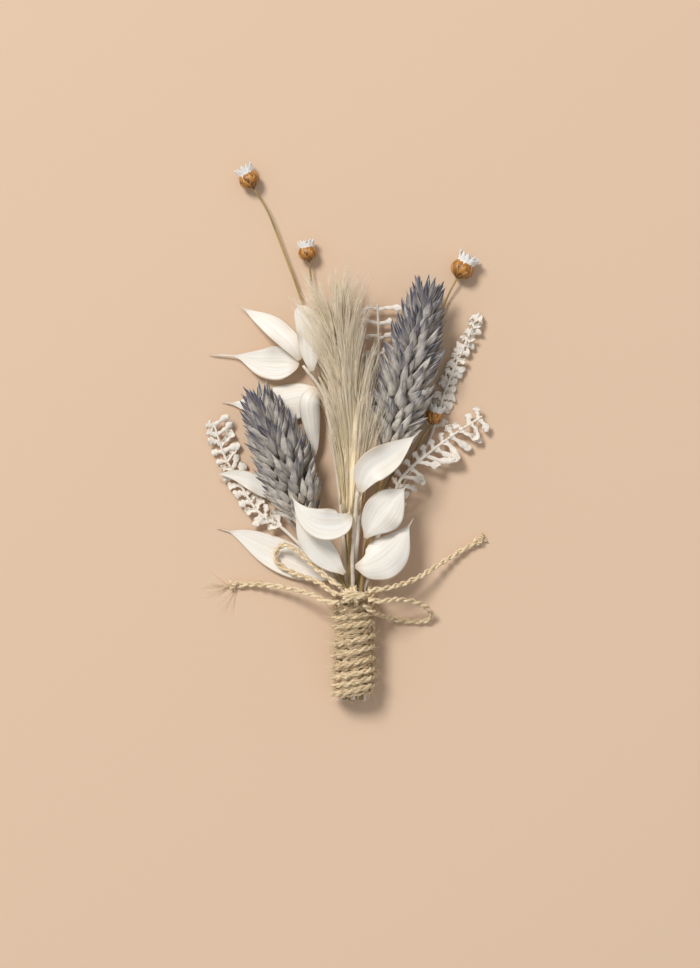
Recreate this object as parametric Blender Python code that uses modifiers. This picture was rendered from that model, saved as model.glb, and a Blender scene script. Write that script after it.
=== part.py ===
"""A dried-flower boutonniere lying on its back on a flat surface.

Places are written in the florist's own frame, in millimetres from the tie: u to the right, v from the
tie towards the flower tips, w up from the surface. place() turns them into the object's frame: metres,
+X right, +Y towards the flowers, +Z up, with the origin under the middle of the spray.
"""

import math

import bmesh
import bpy
from mathutils import Matrix, Vector

MM = 0.001
TIE_X, TIE_Y = 1.62, -44.98  # where the tie lies in the object's frame, in mm

# The handle: stems side by side in a close-packed bundle, under one layer of twine.
TWINE_DIAMETER = 1.7
WRAP_RADIUS = 5.5
WRAP_BORE = 3.85
WRAP_START, WRAP_END = -27.3, 2.5
WRAP_TURNS = 16
WRAP_WAIST = 0.35  # how much thinner the handle is halfway
HANDLE_AXIS_W = WRAP_RADIUS - 0.034
STEM_CUT_V = -28.4
SLOT_PITCH = 1.5
SLOT_ROW = SLOT_PITCH * math.sin(math.radians(60))
STEM_RADIUS = 0.6
BUTTON_STEM_RADIUS = 0.35

LEAF_THICKNESS = 0.4
FROND_THICKNESS = 0.5
RACHIS_WIDTH = 0.9
RACHIS_TAPER = 0.45

KNOT_CENTRE = (0.0, 0.6, 13.6)
KNOT_RADII = (3.9, 3.2, 2.3)
KNOT_GAP = 0.45

COLOURS = {  # colour, roughness
    "jute": ((0.56, 0.43, 0.27), 0.9),
    "ivory_leaf": ((0.86, 0.83, 0.74), 0.55),
    "fern": ((0.84, 0.77, 0.66), 0.65),
    "phalaris": ((0.30, 0.29, 0.31), 0.85),
    "plume": ((0.76, 0.66, 0.48), 0.8),
    "straw_stem": ((0.50, 0.38, 0.16), 0.6),
    "bract": ((0.50, 0.24, 0.06), 0.35),
    "petal": ((0.90, 0.88, 0.84), 0.5),
}


def place(point):
    return Vector((TIE_X + point[0], TIE_Y + point[1], point[2])) * MM


def route(points, count):
    """count points evenly spaced along a smooth line through the given ones, still in florist's mm."""
    p = [Vector(q) for q in points]
    p = [2 * p[0] - p[1], *p, 2 * p[-1] - p[-2]]
    fine = []
    for a, b, c, d in zip(p, p[1:], p[2:], p[3:]):
        for k in range(24):
            t = k / 24
            bow = 2 * a - 5 * b + 4 * c - d
            twist = 3 * b - a - 3 * c + d
            fine.append(0.5 * (2 * b + (c - a) * t + bow * t**2 + twist * t**3))
    fine.append(p[-2])
    along = [0.0]
    for a, b in zip(fine, fine[1:]):
        along.append(along[-1] + (b - a).length)
    spaced = []
    for k in range(count):
        target = along[-1] * k / (count - 1)
        i = next(j for j in range(1, len(along)) if along[j] >= target - 1e-9)
        share = (target - along[i - 1]) / (along[i] - along[i - 1])
        spaced.append(fine[i - 1].lerp(fine[i], share))
    return spaced


def blend_table(table, t):
    """Linear reading of a table of (t, value) rows."""
    for (t0, v0), (t1, v1) in zip(table, table[1:]):
        if t <= t1:
            return v0 + (v1 - v0) * (t - t0) / (t1 - t0)
    return table[-1][1]


def material(name):
    found = bpy.data.materials.get(name)
    if found:
        return found
    made = bpy.data.materials.new(name)
    made.use_nodes = True
    shader = made.node_tree.nodes["Principled BSDF"]
    colour, roughness = COLOURS[name]
    shader.inputs["Base Color"].default_value = (*colour, 1)
    shader.inputs["Roughness"].default_value = roughness
    shader.inputs["Metallic"].default_value = 0
    return made


def clear_scene():
    for obj in list(bpy.data.objects):
        bpy.data.objects.remove(obj)


def add(name, data, finish):
    obj = bpy.data.objects.new(name, data)
    obj.data.materials.append(material(finish))
    bpy.data.collections["boutonniere"].objects.link(obj)
    return obj


def mesh_from(name, bm, finish, smooth=True):
    mesh = bpy.data.meshes.new(name)
    bm.to_mesh(mesh)
    bm.free()
    if smooth:
        mesh.shade_smooth()
    return add(name, mesh, finish)


def solidify(obj, thickness):
    modifier = obj.modifiers.new("thickness", "SOLIDIFY")
    modifier.thickness = thickness * MM
    modifier.offset = 0
    return obj


def tube(name, points, radius, finish, sides=6):
    """A round rod along points in florist's mm, with closed ends."""
    curve = bpy.data.curves.new(name, "CURVE")
    curve.dimensions = "3D"
    curve.bevel_depth = radius * MM
    curve.bevel_resolution = sides // 2 - 2
    curve.use_fill_caps = True
    spline = curve.splines.new("POLY")
    spline.points.add(len(points) - 1)
    for knot, point in zip(spline.points, points):
        knot.co = (*place(point), 1)
    return add(name, curve, finish)


def slot(column, row):
    """The centre of a place in the stem bundle, as (u, w): row counts up from the handle's middle."""
    return column * SLOT_PITCH, HANDLE_AXIS_W + row * SLOT_ROW


def stem_route(column, row, outside):
    """The whole line of a stem: straight through the handle, then through the points outside it."""
    u, w = slot(column, row)
    return [(u, STEM_CUT_V + 0.3 * abs(row) + 0.15 * abs(column), w), (u, WRAP_END, w), *outside]


def stem(name, column, row, outside, finish, radius=STEM_RADIUS, count=14):
    (first, *rest) = stem_route(column, row, outside)
    return tube(name, [Vector(first), *route(rest, count - 1)], radius, finish)


def side_frame(line, i):
    """(tangent, side, normal) of a line at its i-th point."""
    tangent = (line[min(i + 1, len(line) - 1)] - line[max(i - 1, 0)]).normalized()
    side = tangent.cross(Vector((0, 0, 1))).normalized()
    return tangent, side, side.cross(tangent)


RUSCUS_OUTLINE = (
    (0, 0.08), (0.08, 0.3), (0.2, 0.68), (0.35, 0.95), (0.5, 1.0), (0.65, 0.86), (0.8, 0.52),
    (0.92, 0.18), (1, 0.05),
)


def leaf(name, spine, width, rows=8, columns=4):
    """A pointed leaf along its midrib, width mm across at the widest place."""
    line = route(spine, rows + 1)
    bm = bmesh.new()
    bmesh.ops.create_grid(bm, x_segments=columns, y_segments=rows, size=1)
    for vertex in bm.verts:
        share, across = (vertex.co.y + 1) / 2, vertex.co.x
        i = round(share * rows)
        _, side, _ = side_frame(line, i)
        half = width / 2 * blend_table(RUSCUS_OUTLINE, share)
        vertex.co = place(line[i] + side * across * half)
    bmesh.ops.recalc_face_normals(bm, faces=bm.faces)
    return solidify(mesh_from(name, bm, "ivory_leaf"), LEAF_THICKNESS)


def frond(name, column, row, outside, first, pinnae, lengths, lean=68.0):
    """A fern frond: a flat midrib through the handle and outside, with pinnae pulled out of its two edges.

    first is the share of the line where the pinnae start, pinnae their number on each side, and lengths a
    pair of tables, (share of the pinnae run, length in mm), for the left and the right side.
    """
    (start, *rest) = stem_route(column, row, outside)
    stations = 2 * pinnae + 1
    bare = max(4, round(stations * first / (1 - first) * 0.5))
    count = bare + stations
    whole = route(rest, 200)
    line = [Vector(start)]
    line += [whole[round(199 * first * k / bare)] for k in range(bare)]
    line += [whole[round(199 * (first + (1 - first) * k / (stations - 1)))] for k in range(stations)]
    bm = bmesh.new()
    left, right = [], []
    for i, point in enumerate(line):
        _, side, _ = side_frame(line, i)
        half = RACHIS_WIDTH / 2 * (1 - RACHIS_TAPER * i / count)
        left.append(bm.verts.new(place(point - side * half)))
        right.append(bm.verts.new(place(point + side * half)))
    for i in range(len(line) - 1):
        bm.faces.new((left[i], right[i], right[i + 1], left[i + 1]))
    for k in range(pinnae):
        i = bare + 1 + 2 * k
        for edge_verts, sign, table in ((left, -1, lengths[0]), (right, 1, lengths[1])):
            reach = blend_table(table, k / max(1, pinnae - 1))
            if reach < 1:
                continue
            pull_pinna(bm, edge_verts[i], edge_verts[i + 1], line, i, sign, reach, lean)
    bmesh.ops.recalc_face_normals(bm, faces=bm.faces)
    return solidify(mesh_from(name, bm, "fern", smooth=False), FROND_THICKNESS)


PINNA_OUTLINE = ((0.35, 0.36), (0.75, 0.72), (1.0, 0.5))


def pull_pinna(bm, lower, upper, line, i, sign, reach, lean):
    """Extrudes one edge of the midrib into a leaflet with a thin stalk and a broad end."""
    edge = bm.edges.get((lower, upper))
    tangent, side, _ = side_frame(line, i)
    out = Matrix.Rotation(math.radians(90 - lean) * sign, 3, Vector((0, 0, 1))) @ (side * sign)
    along = (tangent - out * tangent.dot(out)).normalized()
    root = (lower.co + upper.co) / 2
    for share, half in PINNA_OUTLINE:
        pulled = bmesh.ops.extrude_edge_only(bm, edges=[edge])["geom"]
        edge = next(g for g in pulled if isinstance(g, bmesh.types.BMEdge))
        centre = root + out * reach * share * MM
        ends = sorted(edge.verts, key=lambda v: (v.co - root).dot(along))
        ends[0].co = centre - along * half * MM
        ends[1].co = centre + along * half * MM


def seed_head(name, base, tip, radii, finish, rings=11, around=16, scale=0.0, bend=(0, 0, 0)):
    """A spindle from base to tip. radii is a table of (share, radius in mm); scale makes staggered bumps."""
    bm = bmesh.new()
    bmesh.ops.create_uvsphere(bm, u_segments=around, v_segments=rings, radius=1)
    start, end, sag = Vector(base), Vector(tip), Vector(bend)
    axis = (end - start).normalized()
    across = axis.cross(Vector((0, 0, 1))).normalized()
    up = axis.cross(across)
    for vertex in bm.verts:
        ring = round((1 - math.acos(max(-1, min(1, vertex.co.z))) / math.pi) * rings)
        share = ring / rings
        angle = math.atan2(vertex.co.y, vertex.co.x)
        pole = ring in (0, rings)
        radius = 0 if pole else blend_table(radii, share)
        radius *= 1 + scale * math.cos(around / 2 * angle + math.pi * ring)
        centre = start.lerp(end, share) + sag * 4 * share * (1 - share)
        vertex.co = place(centre + across * radius * math.cos(angle) + up * radius * math.sin(angle))
    return mesh_from(name, bm, finish, smooth=False)


def turned(name, profile, finish, location, axis, steps=20):
    """A turned solid. The profile is (radius, height) in mm, from the top down its outer side."""
    mesh = bpy.data.meshes.new(name)
    edges = [(i, i + 1) for i in range(len(profile) - 1)]
    mesh.from_pydata([(r * MM, 0, h * MM) for r, h in profile], edges, [])
    obj = add(name, mesh, finish)
    screw = obj.modifiers.new("turn", "SCREW")
    screw.axis = "Z"
    screw.steps = screw.render_steps = steps
    screw.use_merge_vertices = True
    screw.merge_threshold = 0.00005
    obj.location = place(location)
    obj.rotation_mode = "QUATERNION"
    obj.rotation_quaternion = Vector(axis).to_track_quat("Z", "Y")
    return obj


# ---- the handle and the bow -------------------------------------------------------------------------------


def twine_wrap():
    """One layer of twine as its outer shape: a ridge for each turn, over a bore that clears the stems."""
    length = WRAP_END - WRAP_START
    pitch = length / WRAP_TURNS
    outer = []
    for turn in range(WRAP_TURNS):
        for offset, depth in ((0.0, 0.45), (0.5, 0.0)):
            height = length - (turn + offset) * pitch
            waist = WRAP_WAIST * math.sin(math.pi * height / length)
            outer.append((WRAP_RADIUS - waist - depth, height))
    outer.append((WRAP_RADIUS - 0.45, 0.0))
    profile = [(WRAP_BORE, length), *outer, (WRAP_BORE, 0.0), (WRAP_BORE, length)]
    return turned("twine_wrap", profile, "jute", (0, WRAP_START, HANDLE_AXIS_W), (0, 1, 0))


def on_knot(azimuth, elevation, gap=KNOT_GAP):
    """A point just off the knot, in florist's mm. Azimuth 0 is to the right and 90 towards the flowers."""
    a, e = math.radians(azimuth), math.radians(elevation)
    ray = Vector((math.cos(e) * math.cos(a), math.cos(e) * math.sin(a), math.sin(e)))
    on_skin = Vector([r * x for r, x in zip(KNOT_RADII, ray)])
    return Vector(KNOT_CENTRE) + on_skin + on_skin.normalized() * gap


BOW = {  # each cord leaves the knot and lies down on the surface or on the leaf below it
    "bow_loop_left": [
        on_knot(140, 15), (-5.8, 4.6, 14.0), (-8.9, 7.0, 12.4), (-12.0, 9.8, 10.2), (-15.4, 12.6, 7.8),
        (-18.7, 13.9, 5.2), (-20.9, 12.2, 3.4), (-20.8, 9.3, 2.7), (-17.6, 6.9, 2.7), (-13.0, 5.2, 4.3),
        (-8.8, 3.6, 7.6), (-6.2, 1.8, 11.0), on_knot(178, -15),
    ],
    "bow_tail_left": [
        on_knot(214, -8), (-7.2, -1.1, 11.9), (-11.0, 0.6, 9.6), (-17.1, 2.3, 6.0), (-23.6, 3.0, 3.1),
        (-28.6, 3.1, 1.5), (-33.6, 2.9, 0.95),
    ],
    "bow_tail_right": [
        on_knot(20, 10), (7.4, 2.3, 13.2), (11.4, 3.0, 11.0), (17.2, 5.0, 7.4), (23.2, 8.6, 4.2),
        (29.6, 12.4, 1.9), (36.0, 16.0, 0.95),
    ],
    "bow_loop_right": [
        on_knot(-18, 12), (7.6, -0.9, 13.4), (11.4, -0.5, 11.2), (16.2, -1.3, 7.8), (20.0, -3.0, 5.0),
        (21.3, -5.2, 2.9), (19.4, -6.8, 1.4), (14.6, -6.9, 1.0), (10.0, -6.0, 2.6), (7.5, -4.9, 6.6),
        (5.6, -4.0, 10.4), on_knot(-50, -20),
    ],
}
BOW_POINT_SPACING = 1.9  # mm between the points of a cord's line


def line_length(points):
    fine = route(points, 120)
    return sum((b - a).length for a, b in zip(fine, fine[1:]))


def bow():
    knot = seed_head(
        "bow_knot",
        (KNOT_CENTRE[0] - KNOT_RADII[0], *KNOT_CENTRE[1:]),
        (KNOT_CENTRE[0] + KNOT_RADII[0], *KNOT_CENTRE[1:]),
        [(k / 8, KNOT_RADII[1] * math.sin(math.pi * k / 8)) for k in range(9)],
        "jute", rings=8, around=12,
    )
    squash = Matrix.Scale(KNOT_RADII[2] / KNOT_RADII[1], 4, (0, 0, 1))
    flatten = Matrix.Translation(place(KNOT_CENTRE)) @ squash
    knot.data.transform(flatten @ Matrix.Translation(-place(KNOT_CENTRE)))
    for name, points in BOW.items():
        count = round(line_length(points) / BOW_POINT_SPACING) + 1
        tube(name, route(points, count), TWINE_DIAMETER / 2, "jute", sides=8)


# ---- the grasses ------------------------------------------------------------------------------------------

PHALARIS_BODY = (
    (0, 1.5), (0.09, 5.6), (0.2, 8.0), (0.35, 8.6), (0.6, 8.4), (0.8, 6.2), (0.91, 3.8),
    (1, 1.2),
)
PLUME_BODY = (
    (0, 0.8), (0.1, 3.0), (0.25, 4.4), (0.45, 5.3), (0.7, 6.0), (0.85, 4.6), (0.92, 2.8),
    (1, 1.0),
)


def grasses():
    seed_head(
        "phalaris_left_head",
        (-12.2, 19.7, 9.0),
        (-26.3, 55.9, 9.2),
        PHALARIS_BODY,
        "phalaris",
        scale=0.045,
    )
    stem("phalaris_left_stem", -1.5, 1, [(-4.2, 7, 7.3), (-8.4, 13.6, 8.4), (-12.0, 19.3, 9.0)], "straw_stem")
    seed_head(
        "phalaris_right_head",
        (8.4, 35.1, 9.1),
        (20.7, 85.6, 9.3),
        PHALARIS_BODY,
        "phalaris",
        scale=0.045,
    )
    stem("phalaris_right_stem", 1.5, 1, [(3.4, 12, 7.5), (6.0, 25, 8.6), (8.3, 34.7, 9.1)], "straw_stem")
    seed_head(
        "plume_head", (-0.6, 22.0, 13.7), (-5.8, 82.0, 12.6), PLUME_BODY, "plume", rings=9, around=14,
        bend=(-0.6, 0, 0.6),
    )
    stem("plume_stem", -0.5, 1, [(-0.9, 8, 8.7), (-0.8, 15.5, 11.6), (-0.65, 21.6, 13.5)], "straw_stem")


# ---- the bleached ruscus ----------------------------------------------------------------------------------


def ruscus_back():
    """The sprig that lies lowest and shows at the upper left."""
    stem(
        "ruscus_back_stem", -1, 0,
        [
            (-2.2, 10, 5.1), (-3.6, 27, 4.2), (-6.2, 45.9, 4.1), (-7.9, 54.5, 4.5),
            (-11.1, 59.6, 4.9), (-13.6, 62.6, 5.0),
        ],
        "ivory_leaf", count=16,
    )
    leaf(
        "ruscus_back_leaf_1",
        [(-8.9, 54.4, 3.5), (-16, 52.6, 1.9), (-26, 52.8, 1.0), (-35.4, 53.2, 0.6)],
        9.6,
    )
    leaf(
        "ruscus_back_leaf_2",
        [(-8.8, 53.4, 5.6), (-10.5, 50, 5.6), (-10.7, 42, 4.0), (-10.9, 33.8, 1.6)],
        5.2,
    )
    leaf(
        "ruscus_back_leaf_3",
        [(-14.6, 63.1, 4.6), (-22.4, 64.3, 3.2), (-31.9, 66.2, 1.4), (-39.4, 66.8, 0.7)],
        9.0,
    )
    leaf(
        "ruscus_back_leaf_4",
        [(-14.3, 63.9, 5.3), (-19.2, 69.4, 5.6), (-25.6, 74.9, 4.0), (-31.6, 79.4, 2.2)],
        7.4,
    )
    leaf(
        "ruscus_back_leaf_5",
        [(-11.2, 60.6, 6.0), (-12.4, 65.5, 7.3), (-12.8, 73, 7.7), (-15.1, 80.7, 6.8)],
        8.0,
    )
    leaf("ruscus_back_leaf_6", [(-5.2, 44.0, 4.8), (-0.8, 50, 5.4), (2.6, 58, 5.6), (5.0, 67.5, 5.4)], 6.4)


def ruscus_low():
    """The short sprig at the lower left, its leaves flat on the surface."""
    stem(
        "ruscus_low_stem", -1.5, -1, [(-3.4, 5.4, 3.5), (-9, 12, 2.7), (-17, 20, 2.0), (-21.6, 26, 1.7)],
        "ivory_leaf", count=12,
    )
    leaf(
        "ruscus_low_leaf_1",
        [(-4.3, 4.9, 2.5), (-12, 7.4, 1.4), (-24, 12.6, 0.8), (-36.5, 18.9, 0.6)],
        8.8,
    )
    leaf(
        "ruscus_low_leaf_2",
        [(-22.1, 27.2, 2.3), (-28, 31.0, 3.6), (-33, 32.8, 3.8), (-37.8, 33.9, 3.6)],
        5.0,
    )


def ruscus_front():
    """The sprig on top, whose five leaves cover the feet of the grasses."""
    stem(
        "ruscus_front_stem", 0, 2,
        [(-0.1, 6, 9.5), (-0.2, 11, 11.9), (0.4, 18.5, 15.4), (0.8, 25, 18.2), (1.2, 28.5, 19.2)],
        "ivory_leaf", count=14,
    )
    leaf(
        "ruscus_front_leaf_1",
        [(-1.3, 7.8, 11.5), (-6, 11.5, 13.2), (-11, 17.5, 15.6), (-16.5, 24.2, 17.4)],
        8.4,
    )
    leaf(
        "ruscus_front_leaf_2",
        [(0.9, 7.9, 11.2), (6, 9.4, 12.2), (11.5, 14.2, 11.6), (16.4, 21.7, 9.8)],
        10.2,
    )
    leaf(
        "ruscus_front_leaf_3",
        [(-0.4, 23.5, 18.2), (-5, 21.6, 19.2), (-12, 22.6, 19.8), (-16.8, 28.8, 19.6)],
        7.4,
    )
    leaf(
        "ruscus_front_leaf_4",
        [(1.3, 17.2, 15.0), (6, 21, 15.2), (10.5, 26, 14.2), (14.9, 31.6, 12.4)],
        10.4,
    )
    leaf(
        "ruscus_front_leaf_5",
        [(1.8, 29.4, 19.4), (4.8, 36.5, 20.0), (11, 41.2, 19.0), (18.4, 45.6, 16.4)],
        8.6,
    )


# ---- the bleached ferns -----------------------------------------------------------------------------------


def ferns():
    frond(
        "fern_left", -2, 0,
        [(-5.6, 4.8, 5.0), (-10, 9.5, 4.2), (-15, 14.6, 3.6), (-19.7, 18.9, 3.3), (-24.6, 21.9, 2.7),
         (-27.9, 25.7, 2.1), (-31, 31, 1.6), (-33.7, 35.6, 1.5), (-35.4, 39.2, 1.7), (-38, 47.3, 2.4)],
        0.42, 10, (((0, 3.0), (0.5, 3.2), (1, 2.6)), ((0, 3.2), (0.5, 4.4), (1, 6.0))),
    )
    frond(
        "fern_right", 2, 0,
        [(4.2, 6, 5.6), (6.5, 14.8, 5.8), (10, 24.3, 5.5), (13.4, 32.4, 5.0), (20.2, 38.6, 4.2),
         (27.5, 44, 3.3), (35.1, 48.9, 2.6)],
        0.2, 13, (((0, 0.5), (0.5, 2.0), (1, 3.4)), ((0, 5.0), (0.45, 5.4), (0.7, 8.0), (1, 4.6))),
        lean=72,
    )
    frond(
        "fern_upper_right", 1, -2,
        [(3.5, 8, 2.2), (9, 22, 1.4), (15, 33, 1.1), (20.4, 41.6, 0.9), (22.8, 48.6, 0.9), (25.4, 56.7, 1.4),
         (29.4, 66.1, 2.0), (34.3, 77, 2.4)],
        0.64, 11, (((0, 2.6), (1, 1.4)), ((0, 2.8), (1, 1.4))), lean=80,
    )
    frond(
        "fern_top", 0, -2,
        [
            (0.8, 10, 2.2), (2.5, 30, 1.8), (4.8, 50, 2.0), (6.8, 64.8, 2.6), (6.9, 72, 3.1),
            (6.6, 79.4, 3.6),
        ],
        0.76, 5, (((0, 4.4), (1, 5.2)), ((0, 1.0), (0.6, 1.2), (1, 6.4))), lean=75,
    )


# ---- the button flowers -----------------------------------------------------------------------------------

BRACT_PROFILE = (
    (0, 3.3), (1.0, 3.35), (1.9, 3.6), (2.25, 2.9), (2.3, 2.1), (2.0, 1.0), (1.3, 0.3),
    (0.5, 0), (0, 0),
)
PETAL_PROFILE = ((0, 5.0), (0.9, 5.2), (2.5, 5.9), (2.2, 4.9), (1.5, 4.0), (0.7, 3.7), (0, 3.65))
BUTTONS = {  # slot column and row, the stem outside the handle, the way the flower faces, its size
    "button_a": (
        -0.5, -1,
        [(-1.6, 10, 3.1), (-3.2, 30, 2.1), (-6, 50, 1.8), (-10, 66, 1.9), (-14.4, 81.5, 2.3),
         (-18.9, 93.7, 2.6),
         (-23.2, 104.6, 2.9), (-27.0, 110.9, 3.0)],
        (-0.46, 0.89, 0.05), 1.12,
    ),
    "button_b": (
        0, 0,
        [
            (-0.5, 10, 4.4), (-1.8, 30, 3.3), (-4, 50, 3.2), (-7.5, 66, 3.1), (-10.2, 78, 2.9),
            (-12.0, 91.0, 2.9),
        ],
        (-0.15, 0.98, 0.08), 1.0,
    ),
    "button_c": (
        0.5, -1,
        [(2.3, 8, 3.3), (7.2, 25, 2.2), (12, 36, 1.4), (15.9, 47, 1.0), (21.0, 65, 1.0), (24.8, 79, 1.6),
         (28.2, 86.4, 2.9)],
        (0.5, 0.86, 0.1), 1.25,
    ),
    "button_d": (
        1.5, -1,
        [(4.5, 8, 3.9), (9.6, 22, 3.5), (14.6, 34, 3.2), (18.2, 42, 3.4), (21.2, 46.6, 4.0)],
        (0.3, 0.95, 0.1), 0.95,
    ),
}


def buttons():
    for name, (column, row, outside, facing, size) in BUTTONS.items():
        stem(f"{name}_stem", column, row, outside, "straw_stem", BUTTON_STEM_RADIUS, count=16)
        facing = Vector(facing).normalized()
        seat = Vector(outside[-1]) + facing * 0.35
        for part, profile, finish in (("bracts", BRACT_PROFILE, "bract"), ("petals", PETAL_PROFILE, "petal")):
            scaled = [(r * size, h * size) for r, h in profile]
            turned(f"{name}_{part}", scaled, finish, seat, facing, steps=12)


def main():
    clear_scene()
    collection = bpy.data.collections.new("boutonniere")
    bpy.context.scene.collection.children.link(collection)
    twine_wrap()
    bow()
    grasses()
    ruscus_back()
    ruscus_low()
    ruscus_front()
    ferns()
    buttons()


main()
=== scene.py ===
"""Looks of a dried-flower boutonniere: bleached ruscus and fern, dyed canary grass, a pale plume, button
flowers and a hairy jute twine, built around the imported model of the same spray.

Places are written in the florist's own frame, in millimetres from the tie: u to the right, v from the tie
towards the flower tips, w up from the surface. place() turns them into the model's metres.
"""

import math

import bpy
import numpy as np
from bpy.props import FloatProperty, FloatVectorProperty, IntProperty, PointerProperty
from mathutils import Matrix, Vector


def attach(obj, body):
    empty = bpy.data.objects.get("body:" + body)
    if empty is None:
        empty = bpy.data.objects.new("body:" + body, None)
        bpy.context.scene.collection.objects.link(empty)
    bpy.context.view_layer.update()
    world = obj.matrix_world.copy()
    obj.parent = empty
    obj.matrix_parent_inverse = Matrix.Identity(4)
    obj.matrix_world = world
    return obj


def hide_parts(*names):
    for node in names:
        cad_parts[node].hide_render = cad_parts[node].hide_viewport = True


bl_info = {
    "name": "Dried flower boutonniere",
    "version": (1, 0, 0),
    "blender": (4, 5, 0),
    "location": "View3D > Sidebar > Boutonniere",
    "description": "Builds the leaves, ferns, grasses, button flowers and twine of a small lapel spray",
    "category": "Object",
}

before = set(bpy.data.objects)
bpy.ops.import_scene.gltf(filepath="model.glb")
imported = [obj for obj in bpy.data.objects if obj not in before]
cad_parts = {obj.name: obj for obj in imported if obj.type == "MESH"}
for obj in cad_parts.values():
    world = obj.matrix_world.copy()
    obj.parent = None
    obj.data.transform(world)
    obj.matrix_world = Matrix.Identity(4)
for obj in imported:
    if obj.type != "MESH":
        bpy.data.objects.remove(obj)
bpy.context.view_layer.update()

MM = 0.001
TIE = np.array((1.62, -44.98, 0.0))  # where the tie lies in the model's frame, in mm
GOLDEN_TURN = math.pi * (3 - math.sqrt(5))
SHADE_COLUMNS = 16

# The handle, as the model has it.
WRAP_START, WRAP_END = -27.3, 2.5
HANDLE_AXIS_W = 5.466
STEM_CUT_V = -28.4
SLOT_PITCH = 1.5
SLOT_ROW = SLOT_PITCH * math.sin(math.radians(60))
STEM_RADIUS = 0.6
BUTTON_STEM_RADIUS = 0.35
KNOT_CENTRE = np.array((0.0, 0.6, 13.6))
KNOT_RADII = np.array((3.9, 3.2, 2.3))
KNOT_GAP = 0.45


# ---- numbers ---------------------------------------------------------------------------


def place(points):
    """Florist's millimetres to the model's metres."""
    return (np.asarray(points, float) + TIE) * MM


def unit(vectors):
    return vectors / np.linalg.norm(vectors, axis=-1, keepdims=True).clip(1e-9)


def smooth(x):
    x = np.clip(x, 0, 1)
    return x * x * (3 - 2 * x)


def route(points, count):
    """count points evenly spaced along a smooth line through the given ones, still in florist's mm."""
    p = np.array(points, float)
    p = np.vstack([2 * p[0] - p[1], p, 2 * p[-1] - p[-2]])
    t = np.linspace(0, 1, 24, endpoint=False)[:, None]
    fine = [
        0.5 * (2 * b + (c - a) * t + (2 * a - 5 * b + 4 * c - d) * t**2 + (3 * b - a - 3 * c + d) * t**3)
        for a, b, c, d in zip(p, p[1:], p[2:], p[3:])
    ]
    return respaced(np.vstack([*fine, p[-2]]), count)


def respaced(line, count):
    along = np.concatenate([[0], np.cumsum(np.linalg.norm(np.diff(line, axis=0), axis=1))])
    at = np.linspace(0, along[-1], count)
    return np.stack([np.interp(at, along, line[:, k]) for k in range(3)], 1)


def length_of(line):
    return float(np.linalg.norm(np.diff(line, axis=0), axis=1).sum())


def frames(paths, up=(0, 0, 1)):
    """Tangent, side and normal along each line, the normal as near to up as it can be."""
    tangent = unit(np.gradient(paths, axis=-2))
    side = unit(np.cross(tangent, up))
    return tangent, side, np.cross(side, tangent)


def turned(vector, axis, angle):
    """vector turned about a unit axis by angle, in radians; all of them arrays that broadcast."""
    angle = np.asarray(angle)[..., None]
    across = np.cross(axis, vector)
    along = (axis * vector).sum(-1, keepdims=True) * axis
    return vector * np.cos(angle) + across * np.sin(angle) + along * (1 - np.cos(angle))


def on_knot(azimuth, elevation):
    """A point just off the knot. Azimuth 0 is to the right and 90 towards the flowers."""
    a, e = math.radians(azimuth), math.radians(elevation)
    skin = KNOT_RADII * (math.cos(e) * math.cos(a), math.cos(e) * math.sin(a), math.sin(e))
    return tuple(KNOT_CENTRE + skin + unit(skin) * KNOT_GAP)


def slot(column, row):
    """The centre of a place in the stem bundle, as (u, w): row counts up from the handle's middle."""
    return column * SLOT_PITCH, HANDLE_AXIS_W + row * SLOT_ROW


# ---- shapes ----------------------------------------------------------------------------


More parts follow.
